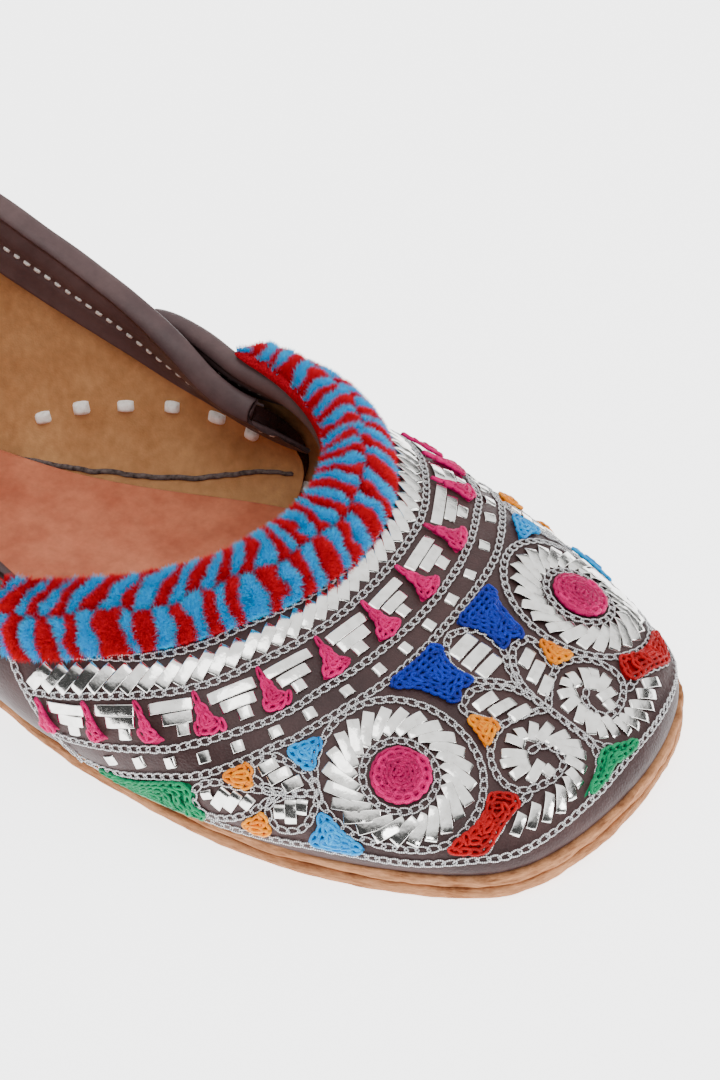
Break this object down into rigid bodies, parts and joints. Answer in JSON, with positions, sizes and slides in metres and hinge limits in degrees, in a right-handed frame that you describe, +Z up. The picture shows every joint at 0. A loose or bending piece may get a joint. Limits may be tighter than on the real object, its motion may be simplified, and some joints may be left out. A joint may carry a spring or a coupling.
{
  "type": "mojari shoe",
  "caption": "Flat slip-on leather shoe with a rounded embroidered vamp, a cut-pile braid round the throat, tucked-in quarters and a thin layered sole.",
  "frame": {"origin": "on the floor, under the middle of the whole shoe's box", "axes": "+Z up, the toe towards -Y and the heel towards +Y, +X to the wearer's left"},
  "size_m": [0.0872, 0.245, 0.0611],
  "materials": {
    "sole_leather": "raw edge, matt",
    "insole_leather": "smooth, mottled",
    "upper_leather": "fine grain, semi-matt, embroidered with flat metal strip and silk-like thread",
    "binding_leather": "fine grain, semi-matt",
    "pile": "cut pile in red and turquoise"
  },
  "bodies": {
    "root": {"outsole": "sole_leather", "midsole": "sole_leather", "insole": "insole_leather", "upper": "upper_leather", "throat_pile": "pile", "throat_binding": "binding_leather", "collar_binding": "binding_leather"}
  },
  "joints": []
}
